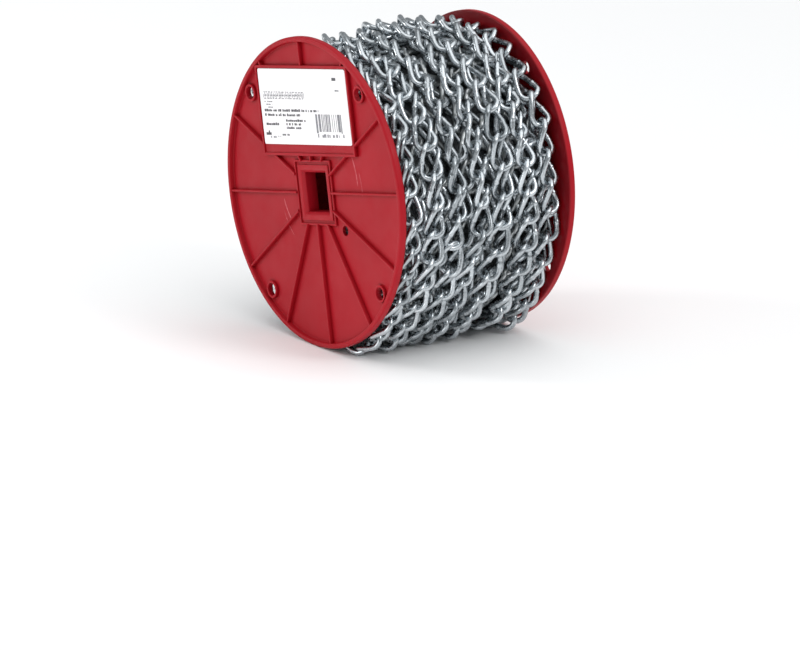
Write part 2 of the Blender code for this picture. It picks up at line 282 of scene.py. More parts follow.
def zinc(name, dull, bright, smooth, rough):
    """Plated steel wire. The tone attribute gives each link its own place between dull and bright."""
    finish = Finish(name, metallic=1.0, roughness=(smooth + rough) / 2, colour=bright)
    tone = finish.node("ShaderNodeAttribute", attribute_name="tone").outputs["Fac"]
    mottle = finish.spread(finish.noise(scale=700, detail=3), -MOTTLE, MOTTLE)
    finish.use_colour(finish.blend(finish.maths("ADD", tone, mottle), dull, bright))
    finish.use_shine(smooth, rough, scale=420, detail=3)
    finish.use_tooth(depth=0.00005, strength=0.35, scale=2600, detail=2)
    return finish.material


zinc_top = zinc("zinc_wire", ZINC_DULL, ZINC_BRIGHT, smooth=0.20, rough=0.36)
# Painted shade: a darker, duller copy of the zinc for the deepest layer.
zinc_shaded = zinc("zinc_wire_shaded", SHADED_ZINC_DULL, SHADED_ZINC_BRIGHT, smooth=0.28, rough=0.44)
print("made", zinc_top.name, "and", zinc_shaded.name)

# %% [markdown]
# ## Shapes for mouldings
#
# A moulding has no sharp edge: every corner has a small radius, and that radius catches the light. Here
# the corners are rounded while they are still flat outlines, before anything is turned or swept. It is
# steadier than a Bevel modifier after a Boolean, where short edges limit the width. Each edge of an
# outline has two corners on it, so a corner's curve may take up a little less than half of the edge.

# %% Rounded outlines
CORNER_STEPS = 3
CORNERS_ON_AN_EDGE = 2.2
SHOULDER = 0.3


def rounded(corners, radius, steps=CORNER_STEPS):
    """A closed outline whose corners are small curves. The radius is one number, or a list of them."""
    points = []
    count = len(corners)
    radii = radius if isinstance(radius, list) else [radius] * count
    for i in range(count):
        corner = Vector(corners[i])
        before = Vector(corners[i - 1]) - corner
        after = Vector(corners[(i + 1) % count]) - corner
        start = corner + before.normalized() * min(radii[i], before.length / CORNERS_ON_AN_EDGE)
        end = corner + after.normalized() * min(radii[i], after.length / CORNERS_ON_AN_EDGE)
        for k in range(steps + 1):
            t = k / steps
            points.append(start * (1 - t) ** 2 + corner * 2 * t * (1 - t) + end * t**2)
    return points


def solid_from_rings(rings, close_ends=False):
    """Joins rings of equal point count. It closes on itself, or gets a cap at each end."""
    build = bmesh.new()
    made = [[build.verts.new(p) for p in ring] for ring in rings]
    for i in range(len(made) - (1 if close_ends else 0)):
        here, there = made[i], made[(i + 1) % len(made)]
        for k in range(len(here)):
            m = (k + 1) % len(here)
            build.faces.new((here[k], here[m], there[m], there[k]))
    if close_ends:
        build.faces.new(list(reversed(made[0])))
        build.faces.new(made[-1])
    bmesh.ops.recalc_face_normals(build, faces=build.faces)
    return build


def prism(outline, low, high):
    """A solid with the same flat outline all the way up."""
    return solid_from_rings([[(p[0], p[1], z) for p in outline] for z in (low, high)], close_ends=True)


def turned(profile, sides, centre=(0, 0)):
    """A ring turned round an upright axis, from an outline of (radius, height) points."""
    rings = []
    for k in range(sides):
        angle = 2 * math.pi * k / sides
        x, y = math.cos(angle), math.sin(angle)
        rings.append([(centre[0] + p[0] * x, centre[1] + p[0] * y, p[1]) for p in profile])
    return solid_from_rings(rings)


def bar(left, right, bottom, top, low, high, radius):
    """A block with a rounded outline, whose upper edge is eased too."""
    corners = [(left, bottom), (right, bottom), (right, top), (left, top)]
    eased = [(left + radius, bottom + radius), (right - radius, bottom + radius)]
    eased += [(right - radius, top - radius), (left + radius, top - radius)]
    base = rounded(corners, radius)
    cap = rounded(eased, radius / 2)
    middle = [(a + (b - a) * SHOULDER) for a, b in zip(base, cap)]
    levels = [(base, low), (base, high - radius), (middle, high - radius * SHOULDER), (cap, high)]
    return solid_from_rings([[(p[0], p[1], z) for p in ring] for ring, z in levels], close_ends=True)


# %% Objects and Booleans
SHARP_ANGLE = math.radians(32)
NEARLY_LEVEL = 0.9999


def object_from(build, name):
    mesh = bpy.data.meshes.new(name)
    build.to_mesh(mesh)
    build.free()
    made = bpy.data.objects.new(name, mesh)
    bpy.context.scene.collection.objects.link(made)
    return made


def combine(target, build, operation):
    """Joins a solid to the target, or cuts it away."""
    helper = object_from(build, "helper")
    step = target.modifiers.new(operation.title(), "BOOLEAN")
    step.operation = operation
    step.solver = "EXACT"
    step.object = helper
    bpy.context.view_layer.update()
    result = bpy.data.meshes.new_from_object(target.evaluated_get(bpy.context.evaluated_depsgraph_get()))
    target.modifiers.clear()
    target.data = result
    bpy.data.objects.remove(helper, do_unlink=True)


def finish_piece(obj, material):
    """One material, creases where faces turn sharply, and smooth faces, apart from those that lie level."""
    obj.data.materials.clear()
    obj.data.materials.append(material)
    obj.data.shade_smooth()
    obj.data.set_sharp_from_angle(angle=SHARP_ANGLE)
    for face in obj.data.polygons:
        face.use_smooth = abs(face.normal.z) < NEARLY_LEVEL


def settle(obj, slot, *nodes):
    """Hangs a piece on the model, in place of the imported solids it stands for."""
    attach(obj, "root")
    if nodes:
        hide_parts(*nodes)
    print(f"{obj.name}: {len(obj.data.polygons)} faces")


# %% [markdown]
# ## Flanges
#
# Each flange is one injection moulding. A thin web carries a raised rim, twelve thin ribs, a framed
# field for the label, a square hub with a funnelled mouth, and four bossed holes. Both flanges come from
# one mould, so one mesh is built lying down with its outer face up, and stood up twice.

# %% Flange sizes
EDGE = 0.0005
THROUGH = 0.004
WEB = 0.002
RIM_WIDTH = 0.0032
RIM_DRAFT = 0.0006
RIM_LIP = 0.0015
RIM_LIP_STEPS = 6
RIM_BACK_EDGE = 0.0010
RIM_TURN_STEPS = 192

RIB_COUNT = 12
RIB_TOP_WIDTH = 0.0013
RIB_ROOT_WIDTH = 0.0021
RIB_FOOT = WEB * 0.6
RIB_TOP = FLANGE_DEPTH - 0.0004
RIB_EDGE = EDGE * 0.8
NO_RADIUS = 0.00001

BORE_HALF = 0.0129
WEB_FROM = BORE_HALF * 0.6
HUB_HALF = 0.0213
HUB_CORNER = 0.0009
COLLAR_WALL = 0.0014
COLLAR_TOP = FLANGE_DEPTH - 0.0015
GROOVE_FLOOR = 0.0023
LEDGE_HALF = 0.0181
LEDGE_TOP = 0.0033
MOUTH_HALF = 0.0147
MOUTH_TOP = 0.0031
FUNNEL_BOTTOM = 0.0010
SOCKET_HALF = 0.0158
SOCKET_LENGTH = 0.007
BACK_STEP = 0.0001

LABEL_HALF = 0.05175
FIELD_HALF = LABEL_HALF + 0.0008
FIELD_LEVEL = 0.0037
FIELD_EDGE = 0.0003
FRAME_WIDTH = 0.0019
FRAME_HALF = FIELD_HALF + FRAME_WIDTH
FRAME_FOOT = WEB / 2 + 0.0001
FRAME_BOTTOM = 0.0239
FRAME_CORNER_INSET = 0.0025
FRAME_TOP = math.sqrt((FLANGE_RADIUS - FRAME_CORNER_INSET) ** 2 - FRAME_HALF**2)
FIELD_BOTTOM = FRAME_BOTTOM + FRAME_WIDTH
FIELD_TOP = FRAME_TOP - FRAME_WIDTH

# %% [markdown]
# The web and the rim are one turned ring. Its profile starts outside the axis, because the square bore
# takes the middle away in any case. The rim's outer edge is a broad round lip, and its inner edge is crisp.

# %% Web and rim


def web_and_rim():
    rim_inside = FLANGE_RADIUS - RIM_WIDTH
    corners = [(WEB_FROM, 0), (FLANGE_RADIUS, 0), (FLANGE_RADIUS, FLANGE_DEPTH)]
    corners += [(rim_inside, FLANGE_DEPTH), (rim_inside - RIM_DRAFT, WEB), (WEB_FROM, WEB)]
    radii = [EDGE, RIM_BACK_EDGE, RIM_LIP, EDGE, EDGE, EDGE]
    return object_from(turned(rounded(corners, radii, RIM_LIP_STEPS), RIM_TURN_STEPS), "flange")


def block(left, right, bottom, top, low, high):
    """A plain cutter."""
    return prism([(left, bottom), (right, bottom), (right, top), (left, top)], low, high)


# %% [markdown]
# Ribs taper towards their tops, so that the moulding leaves its mould. They run across the label's field,
# so the field is cut out of them before they join the web.

# %% Ribs and label frame


def tapered(start, end, root, top, low, high, radius):
    """A bar along X whose cross-section narrows upwards."""
    section = [(-root / 2, low), (root / 2, low), (top / 2, high), (-top / 2, high)]
    outline = rounded(section, [NO_RADIUS, NO_RADIUS, radius, radius])
    return solid_from_rings([[(x, p[0], p[1]) for p in outline] for x in (start, end)], close_ends=True)


def add_ribs(flange):
    start = HUB_HALF - COLLAR_WALL / 2
    end = FLANGE_RADIUS - RIM_WIDTH / 2
    ribs = None
    for number in range(RIB_COUNT):
        turn = Matrix.Rotation(number * 2 * math.pi / RIB_COUNT, 4, "Z")
        rib = tapered(start, end, RIB_ROOT_WIDTH, RIB_TOP_WIDTH, RIB_FOOT, RIB_TOP, RIB_EDGE)
        rib.transform(turn)
        if ribs is None:
            ribs = object_from(rib, "ribs")
        else:
            combine(ribs, rib, "UNION")
    field = block(-FRAME_HALF, FRAME_HALF, FRAME_BOTTOM, FRAME_TOP, 0, FLANGE_DEPTH + THROUGH)
    combine(ribs, field, "DIFFERENCE")
    joined = bmesh.new()
    joined.from_mesh(ribs.data)
    bpy.data.objects.remove(ribs, do_unlink=True)
    combine(flange, joined, "UNION")


def add_label_frame(flange):
    """Four bars round a field that stands well above the web."""
    field = bar(-FRAME_HALF, FRAME_HALF, FRAME_BOTTOM, FRAME_TOP, WEB / 2, FIELD_LEVEL, FIELD_EDGE)
    combine(flange, field, "UNION")
    low, high = FRAME_BOTTOM + FRAME_WIDTH / 2, FRAME_TOP - FRAME_WIDTH / 2
    bars = [(-FRAME_HALF, FRAME_HALF, FRAME_BOTTOM, FIELD_BOTTOM)]
    bars += [(-FRAME_HALF, FRAME_HALF, FIELD_TOP, FRAME_TOP)]
    bars += [(-FRAME_HALF, -FIELD_HALF, low, high), (FIELD_HALF, FRAME_HALF, low, high)]
    for left, right, bottom, top in bars:
        combine(flange, bar(left, right, bottom, top, FRAME_FOOT, RIB_TOP, RIB_EDGE), "UNION")


# %% [markdown]
# The hub is a square tube. On its outer side it has a thin collar, a shallow groove, a flat ledge and a
# funnel down into the bore. On its inner side it has a short socket. Its wall outline is rounded once, then
# swept through rounded squares, one for each point of the outline. Three small webs tie the collar to the
# label's frame.

# %% Hub
TIE_WEB_PLACES = (-0.0145, -0.0006, 0.0124)
TIE_WEB_WIDTH = 0.0013
TIE_WEB_TOP = COLLAR_TOP - 0.0003
TIE_WEB_EDGE = 0.0002
BARELY_ROUND = EDGE * 0.2
GROOVE_EDGE = EDGE * 0.4
FUNNEL_EDGE = EDGE * 0.6


def rounded_square(half, height):
    """One ring of the hub's wall."""
    outline = rounded([(-half, -half), (half, -half), (half, half), (-half, half)], HUB_CORNER)
    return [(p[0], p[1], height) for p in outline]


def add_hub(flange):
    opening = HUB_HALF - COLLAR_WALL / 2
    hole = block(-opening, opening, -opening, opening, -THROUGH, FLANGE_DEPTH + THROUGH)
    combine(flange, hole, "DIFFERENCE")
    inside = HUB_HALF - COLLAR_WALL
    wall = [(HUB_HALF, BACK_STEP), (HUB_HALF, COLLAR_TOP), (inside, COLLAR_TOP), (inside, GROOVE_FLOOR)]
    radii = [BARELY_ROUND, EDGE, EDGE, GROOVE_EDGE]
    wall += [(LEDGE_HALF, GROOVE_FLOOR), (LEDGE_HALF, LEDGE_TOP), (MOUTH_HALF, MOUTH_TOP)]
    radii += [GROOVE_EDGE, EDGE, EDGE]
    wall += [(BORE_HALF, FUNNEL_BOTTOM), (BORE_HALF, -SOCKET_LENGTH)]
    radii += [FUNNEL_EDGE, EDGE]
    wall += [(SOCKET_HALF, -SOCKET_LENGTH), (SOCKET_HALF, BACK_STEP)]
    radii += [EDGE, BARELY_ROUND]
    combine(flange, solid_from_rings([rounded_square(p[0], p[1]) for p in rounded(wall, radii)]), "UNION")
    for place in TIE_WEB_PLACES:
        left, right = place - TIE_WEB_WIDTH / 2, place + TIE_WEB_WIDTH / 2
        top = FRAME_BOTTOM + FRAME_WIDTH / 2
        combine(flange, bar(left, right, opening, top, WEB / 2, TIE_WEB_TOP, TIE_WEB_EDGE), "UNION")


# %% Holes
HOLE_COUNT = 4
FIRST_HOLE_DEG = 45
HOLE_SIDES = 32
HOLE_RADIUS = 0.0042
HOLE_CIRCLE = FLANGE_RADIUS - 0.0106
BOSS_WALL = 0.0016
BOSS_TOP = FLANGE_DEPTH - 0.0011
BOSS_FOOT = 0.00008
BOSS_OVERLAP = 0.0004
BOSS_EDGE = 0.0004
TIE_HOLE_RADIUS = 0.0033
TIE_HOLE_CIRCLE = 0.0383
TIE_HOLE_ANGLE = math.radians(-39.9)
DRILL_CORE = 0.0002


def at_angle(radius, angle):
    return radius * math.cos(angle), radius * math.sin(angle)


def drill(flange, radius, centre):
    """Cuts a round hole. The cutter is a ring, so a needle as thin as its core stays in the hole."""
    low, high = -THROUGH, FLANGE_DEPTH + THROUGH
    profile = [(DRILL_CORE, low), (radius, low), (radius, high), (DRILL_CORE, high)]
    combine(flange, turned(profile, HOLE_SIDES, centre), "DIFFERENCE")


def add_holes(flange):
    """Each boss lines its hole right through the web."""
    for number in range(HOLE_COUNT):
        centre = at_angle(HOLE_CIRCLE, math.radians(FIRST_HOLE_DEG + 360 / HOLE_COUNT * number))
        drill(flange, HOLE_RADIUS + BOSS_OVERLAP, centre)
        outside = HOLE_RADIUS + BOSS_WALL
        wall = [(HOLE_RADIUS, BOSS_FOOT), (outside, BOSS_FOOT), (outside, BOSS_TOP), (HOLE_RADIUS, BOSS_TOP)]
        combine(flange, turned(rounded(wall, BOSS_EDGE), HOLE_SIDES, centre), "UNION")
    drill(flange, TIE_HOLE_RADIUS, at_angle(TIE_HOLE_CIRCLE, TIE_HOLE_ANGLE))


# %% Build and stand up the flanges


def stand_up(obj, facing):
    """Stands a piece up, so that its top faces -Y, or +Y for facing 1, at the reel's rest roll."""
    move = Matrix.Translation((0, facing * INNER_HALF, AXIS_HEIGHT)) @ Matrix.Rotation(-REST_ROLL, 4, "Y")
    if facing > 0:
        move = move @ Matrix.Rotation(math.pi, 4, "Z")
    obj.data.transform(move @ Matrix.Rotation(math.pi / 2, 4, "X"))


flange = web_and_rim()
add_ribs(flange)
add_label_frame(flange)
add_hub(flange)
add_holes(flange)
finish_piece(flange, plastic)

for name, facing in (("flange_moulding_front", -1), ("flange_moulding_back", 1)):
    piece = bpy.data.objects.new(name, flange.data.copy())
    bpy.context.scene.collection.objects.link(piece)
    stand_up(piece, facing)
    settle(piece, "red_plastic", "flange_front" if facing < 0 else "flange_back")
bpy.data.objects.remove(flange, do_unlink=True)

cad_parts["barrel"].data.materials.clear()
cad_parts["barrel"].data.materials.append(plastic)

# %% [markdown]
# ## Label
#
# The label is a thin sheet of coated paper with rounded corners. Its print is only suggested: rows of
# short strokes and a set of plain bars, made as very thin raised shapes. Nothing on it can be read.

# %% Paper
LABEL_LEVEL = FIELD_LEVEL + 0.0002
LABEL_THICKNESS = 0.00025
LABEL_BOTTOM = FIELD_BOTTOM + 0.0055
LABEL_TOP = FIELD_TOP - 0.0004
LABEL_CORNER = 0.0016
LABEL_CORNER_STEPS = 6
PAPER = (0.92, 0.90, 0.91)
PAPER_DULL = (0.90, 0.88, 0.89)
PAPER_WHITE = (0.95, 0.93, 0.94)

paper = Finish("label_paper", metallic=0.0, roughness=0.5, colour=PAPER)
paper.use_colour(paper.drifting(PAPER_DULL, PAPER_WHITE, scale=500, detail=4))
paper.use_tooth(depth=0.0002, strength=0.4, scale=60, detail=3)

corners = [(-LABEL_HALF, LABEL_BOTTOM), (LABEL_HALF, LABEL_BOTTOM), (LABEL_HALF, LABEL_TOP)]
corners += [(-LABEL_HALF, LABEL_TOP)]
outline = rounded(corners, LABEL_CORNER, LABEL_CORNER_STEPS)
label = object_from(prism(outline, LABEL_LEVEL, LABEL_LEVEL + LABEL_THICKNESS), "label_sheet")
finish_piece(label, paper.material)
stand_up(label, -1)
settle(label, "paper", "label")

# %% [markdown]
# Places on the label are shares of its width and height, counted from its upper left corner. A stroke's
# uneven length comes from a seeded generator, so the print is the same each time.

# %% Strokes of print
label_width = 2 * LABEL_HALF
label_height = LABEL_TOP - LABEL_BOTTOM
SHORTEST_STROKE = 0.35
UNEVEN_TOPS = 0.35
GAPS = [0.12, 0.12, 0.12, 0.7]
HATCH_PEN = 0.16
HATCH_TOP, HATCH_FOOT = (0, 0.4), (0.6, 1)
HATCH_STEP = (0.3, 0.62)
HATCH_LINES = (0.04, 0.46, 0.86)
HATCH_LINE_HEIGHT = 0.1
LINE_START, LINE_LENGTH, LINE_GAP = (0, 0.5), (0.3, 0.9), (0.25, 0.6)
PRINT_SEED = 4
pen = np.random.default_rng(PRINT_SEED)
strokes = {"dark": [], "grey": []}


def stroke(tone, left, right, top, bottom):
    """A filled rectangle."""
    strokes[tone].append((-LABEL_HALF + left * label_width, -LABEL_HALF + right * label_width,
                          LABEL_TOP - bottom * label_height, LABEL_TOP - top * label_height))


def small_print(tone, left, right, top, height, longest):
    """A row of short strokes of uneven height that stands for words. Here and there a word ends."""
    place = left
    while place < right:
        length = float(pen.uniform(SHORTEST_STROKE, 1.0)) * longest
        rise = float(pen.uniform(0, UNEVEN_TOPS)) * height
        stroke(tone, place, min(place + length, right), top + rise, top + height)
        place += length + longest * float(pen.choice(GAPS))


def large_print(tone, left, right, top, height, wide):
    """A loose hatch: thin uprights of uneven height, over three broken lines that don't match them."""
    place = left
    while place < right:
        rise, drop = float(pen.uniform(*HATCH_TOP)) * height, float(pen.uniform(*HATCH_FOOT)) * height
        stroke(tone, place, place + wide * HATCH_PEN, top + rise, top + drop)
        place += wide * float(pen.uniform(*HATCH_STEP))
    for share in HATCH_LINES:
        line_top, line_bottom = top + height * share, top + height * (share + HATCH_LINE_HEIGHT)
        place = left + wide * float(pen.uniform(*LINE_START))
        while place < right:
            length = wide * float(pen.uniform(*LINE_LENGTH))
            stroke(tone, place, min(place + length, right), line_top, line_bottom)
            place += length + wide * float(pen.uniform(*LINE_GAP))


# %% Rows of print
large_print("grey", left=0.036, right=0.505, top=0.300, height=0.105, wide=0.030)
for row in range(3):
    left, top = 0.045 + 0.018 * row, 0.425 + 0.037 * row
    small_print("grey", left, right=0.135, top=top, height=0.020, longest=0.030)
small_print("dark", left=0.036, right=0.655, top=0.532, height=0.036, longest=0.022)
small_print("dark", left=0.035, right=0.440, top=0.592, height=0.036, longest=0.022)
small_print("dark", left=0.040, right=0.187, top=0.712, height=0.038, longest=0.030)
for row, end in enumerate((0.495, 0.440, 0.440)):
    small_print("dark", left=0.270, right=end, top=0.668 + 0.048 * row, height=0.032, longest=0.024)
stroke("dark", left=0.028, right=0.086, top=0.846, bottom=0.880)
stroke("dark", left=0.056, right=0.070, top=0.822, bottom=0.850)
small_print("grey", left=0.075, right=0.145, top=0.888, height=0.030, longest=0.030)
small_print("grey", left=0.160, right=0.205, top=0.888, height=0.014, longest=0.020)
small_print("dark", left=0.213, right=0.295, top=0.852, height=0.034, longest=0.026)
stroke("dark", left=0.845, right=0.890, top=0.110, bottom=0.150)
small_print("grey", left=0.868, right=0.912, top=0.262, height=0.030, longest=0.030)

# %% Plain bars
BARS = ((0.613, 0.634), (0.646, 0.670), (0.682, 0.692), (0.700, 0.708), (0.716, 0.724),
        (0.731, 0.746), (0.752, 0.760), (0.766, 0.780), (0.800, 0.806), (0.822, 0.828),
        (0.846, 0.852), (0.864, 0.892), (0.896, 0.908))
BARS_TOP = 0.595
SHORT_BARS_BOTTOM, LONG_BARS_BOTTOM = 0.826, 0.845
SHORT_BARS_FROM, SHORT_BARS_TO = 0.64, 0.87
ROW_BELOW = ((0.622, 0.640), (0.672, 0.745), (0.752, 0.764), (0.792, 0.868), (0.910, 0.926))

for left, right in BARS:
    short = SHORT_BARS_FROM < left < SHORT_BARS_TO
    stroke("grey", left, right, BARS_TOP, SHORT_BARS_BOTTOM if short else LONG_BARS_BOTTOM)
for left, right in ROW_BELOW:
    small_print("grey", left, right, top=0.852, height=0.050, longest=0.020)

# %% Ink
FILM_GAP = 0.00001
INK_LEVEL = LABEL_LEVEL + LABEL_THICKNESS
INK_THICKNESS = 0.00004
INK_TONES = {
    "dark": ((0.035, 0.035, 0.040), (0.10, 0.10, 0.11)),
    "grey": ((0.16, 0.16, 0.18), (0.28, 0.28, 0.30)),
}

for tone, (deep, pale) in INK_TONES.items():
    ink_build = bmesh.new()
    for left, right, bottom, top in strokes[tone]:
        corners = [(left, bottom), (right, bottom), (right, top), (left, top)]
        low = [ink_build.verts.new((x, y, INK_LEVEL + FILM_GAP)) for x, y in corners]
        high = [ink_build.verts.new((x, y, INK_LEVEL + INK_THICKNESS)) for x, y in corners]
        ink_build.faces.new(list(reversed(low)))
        ink_build.faces.new(high)
        for i in range(len(corners)):
            j = (i + 1) % len(corners)
            ink_build.faces.new((low[i], low[j], high[j], high[i]))
    ink = Finish(f"label_ink_{tone}", metallic=0.0, roughness=0.5, colour=deep)
    ink.use_colour(ink.drifting(deep, pale, scale=900, detail=3))
    print_marks = object_from(ink_build, f"label_print_{tone}")
    finish_piece(print_marks, ink.material)
    stand_up(print_marks, -1)
    settle(print_marks, "paper")

# %% [markdown]
# A reel that has been handled has a few scuffs, where something hard has slid across the moulding. They
# are thin films of paler plastic, each a narrow arc that tapers to almost nothing at its ends.

# %% Scuffs
SCUFF_THICKNESS = 0.00004
SCUFF_TIP = 0.00002
SCUFF_STEPS = 24
SCUFF_TAPER = 0.6
SCUFF_WAVE, SCUFF_WAVE_RATE = 0.35, 9
SCUFF_FAINT = (0.46, 0.05, 0.065)
SCUFF_PALE = (0.56, 0.11, 0.13)


def scuff(build, radius, from_deg, to_deg, width, slip):
    """An arc on the web, from one angle to another, whose radius slips by a little on the way."""
    low, high = [], []
    for k in range(SCUFF_STEPS + 1):
        share = k / SCUFF_STEPS
        angle = math.radians(from_deg + (to_deg - from_deg) * share)
        swell = 1 + SCUFF_WAVE * math.sin(SCUFF_WAVE_RATE * share)
        half = width / 2 * math.sin(math.pi * share) ** SCUFF_TAPER * swell
        middle = radius + slip * share
        for side_radius in (middle - half - SCUFF_TIP, middle + half + SCUFF_TIP):
            x, y = at_angle(side_radius, angle)
            low.append(build.verts.new((x, y, WEB + FILM_GAP)))
            high.append(build.verts.new((x, y, WEB + SCUFF_THICKNESS)))
    for k in range(SCUFF_STEPS):
        a, b, c, d = 2 * k, 2 * k + 1, 2 * k + 3, 2 * k + 2
        build.faces.new([high[i] for i in (a, b, c, d)])
        build.faces.new([low[i] for i in (d, c, b, a)])
        build.faces.new((low[a], low[d], high[d], high[a]))
        build.faces.new((low[b], high[b], high[c], low[c]))
    build.faces.new((low[0], high[0], high[1], low[1]))
    build.faces.new((low[-2], low[-1], high[-1], high[-2]))


scuff_build = bmesh.new()
scuff(scuff_build, radius=0.0520, from_deg=27, to_deg=5, width=0.0011, slip=-0.0020)
scuff(scuff_build, radius=0.0545, from_deg=15, to_deg=-2, width=0.0006, slip=0.0)
scuff(scuff_build, radius=0.0400, from_deg=186, to_deg=210, width=0.0012, slip=-0.0020)
scuff(scuff_build, radius=0.0430, from_deg=196, to_deg=222, width=0.0006, slip=0.0)
bmesh.ops.recalc_face_normals(scuff_build, faces=scuff_build.faces)
scuffed = Finish("scuffed_plastic", metallic=0.0, roughness=0.55, colour=SCUFF_FAINT)
scuffed.use_colour(scuffed.drifting(PLASTIC_BRIGHT, SCUFF_PALE, scale=420, detail=4))
scuffs = object_from(scuff_build, "scuff_marks")
finish_piece(scuffs, scuffed.material)
stand_up(scuffs, -1)
settle(scuffs, "red_plastic")

# %% [markdown]
# ## One link
#
# A twist link starts as a flat oval of wire, butt-welded in the middle of one side. It is then twisted,
# so that one end stands at about 45 degrees one way and the other end as much the other way. Two links
# therefore meet at right angles, and the chain lies flat. The link is computed here: a tube is wrapped
# round the oval's centre line, which is twisted in proportion to the distance along it.

# %% Link sizes
WIRE = 0.0037
LINK_PITCH = 0.019
LINK_WIDTH = 0.0167
LINK_TWIST = math.radians(45)
BEND = (LINK_WIDTH - WIRE) / 2
HALF_LENGTH = (LINK_PITCH + WIRE) / 2
STRAIGHT = HALF_LENGTH - BEND
PERIMETER = 4 * STRAIGHT + 2 * math.pi * BEND
BEAD_HALF_LENGTH = 0.0011
BEAD_SWELL = 0.22
BEAD_REACH = 2.2
BEAD_STEPS = 9
FINE, MEDIUM, COARSE = (48, 12), (40, 10), (24, 6)

# %% Link shape


def oval(distance):
    """A point of the flat oval, at a distance round it from the middle of its right side."""
    u = distance % PERIMETER
    if u < STRAIGHT:
        return u, BEND
    u -= STRAIGHT
    if u < math.pi * BEND:
        return STRAIGHT + BEND * math.sin(u / BEND), BEND * math.cos(u / BEND)
    u -= math.pi * BEND
    if u < 2 * STRAIGHT:
        return STRAIGHT - u, -BEND
    u -= 2 * STRAIGHT
    if u < math.pi * BEND:
        return -STRAIGHT - BEND * math.sin(u / BEND), -BEND * math.cos(u / BEND)
    return -STRAIGHT + (u - math.pi * BEND), BEND


def link_surface(along, around):
    """The twisted, welded link as a grid of points, along the wire and round it."""
    bead = np.linspace(-BEAD_REACH, BEAD_REACH, BEAD_STEPS) * BEAD_HALF_LENGTH
    rest = np.linspace(bead[-1], PERIMETER + bead[0], along - len(bead) + 2)[1:-1]
    places = np.concatenate([bead, rest])
    flat = np.array([oval(u) for u in places])
    twist = LINK_TWIST * flat[:, 0] / HALF_LENGTH
    middle = np.stack([flat[:, 0], flat[:, 1] * np.cos(twist), flat[:, 1] * np.sin(twist)], axis=1)
    ahead = np.roll(middle, -1, axis=0) - np.roll(middle, 1, axis=0)
    ahead /= np.linalg.norm(ahead, axis=1, keepdims=True)
    out = np.stack([np.zeros(along), -np.sin(twist), np.cos(twist)], axis=1)
    out -= ahead * np.sum(out * ahead, axis=1, keepdims=True)
    out /= np.linalg.norm(out, axis=1, keepdims=True)
    across = np.cross(ahead, out)
    from_bead = np.abs(((places + PERIMETER / 2) % PERIMETER) - PERIMETER / 2)
    radius = WIRE / 2 * (1 + BEAD_SWELL * np.exp(-((from_bead / BEAD_HALF_LENGTH) ** 2)))
    turn = 2 * np.pi * np.arange(around) / around
    ring = np.cos(turn)[None, :, None] * out[:, None, :] + np.sin(turn)[None, :, None] * across[:, None, :]
    return middle[:, None, :] + radius[:, None, None] * ring


def grid_faces(along, around):
    """Quads of a tube that closes on itself, with their outer sides out."""
    i, j = np.meshgrid(np.arange(along), np.arange(around), indexing="ij")
    i2, j2 = (i + 1) % along, (j + 1) % around
    corners = [i * around + j, i * around + j2, i2 * around + j2, i2 * around + j]
    return np.stack(corners, axis=-1).reshape(-1, 4)


sample = link_surface(*FINE).reshape(-1, 3)
RISE = float(sample[:, 2].max())
print(f"a link is {2000 * sample[:, 0].max():.1f} mm long, {2000 * sample[:, 1].max():.1f} wide, "
      f"{2000 * RISE:.1f} mm thick")

# %% [markdown]
# ## Winding the chain
#
# Chain can't stretch, so it is laid down joint by joint: each joint is one pitch from the last, along a
# path round the reel. A link then spans two joints, with its face turned outwards. The path runs round
# the reel in nearly flat turns and steps over to the next turn on the -X side. It sags below the axis,
# and heaps up on top, as loosely wound chain does.

# %% Path round the reel
TURNS = 7
TURN_WIDTH = 2 * INNER_HALF / TURNS
LAYER_DROP = 0.0064
WINDING_RADIUS = 0.099
CROWN_RISE = 0.004
CROWN_PLACE = 0.0165
CROWN_SPREAD = 0.0267
SAG = 0.0137
FLOOR_CLEARANCE = 0.0008
STEP_FROM, STEP_TO = math.radians(150), math.radians(215)


def reach(angle, across):
    """How far the chain's crests stand from the axis."""
    down = max(0.0, -math.sin(angle))
    up = max(0.0, math.sin(angle))
    crest = WINDING_RADIUS + SAG * down**3
    crest += CROWN_RISE * up * math.exp(-(((across - CROWN_PLACE) / CROWN_SPREAD) ** 2))
    floor_limit = AXIS_HEIGHT - FLOOR_CLEARANCE
    return min(crest, floor_limit / down) if down > 0 else crest


def smooth_step(value):
    t = min(max(value, 0.0), 1.0)
    return t * t * (3 - 2 * t)


def turn_place(progress):
    """Where the path lies across the reel, which turn it is and at what angle, so many radians along."""
    turn = math.floor(progress / (2 * math.pi))
    within = progress - turn * 2 * math.pi
    shift = smooth_step((within - (2 * math.pi - (STEP_TO - STEP_FROM))) / (STEP_TO - STEP_FROM))
    place = min(turn + shift, TURNS - 1)
    return -INNER_HALF + TURN_WIDTH * (place + 0.5), turn, STEP_TO + within


# %% [markdown]
# Low down on the +X side, most of the turns have slid towards the labelled flange. The slide grows with
# the distance from that flange, and fades out before the last two turns.

# %% Lean of the turns
LEAN = 0.0075
LEAN_FROM, LEAN_TO = math.radians(0), math.radians(-42)
LEAN_END = math.radians(-95)
LEAN_GROWS_TO = 0.64
LEAN_FADES_FROM, LEAN_FADES_OVER = 0.68, 0.10


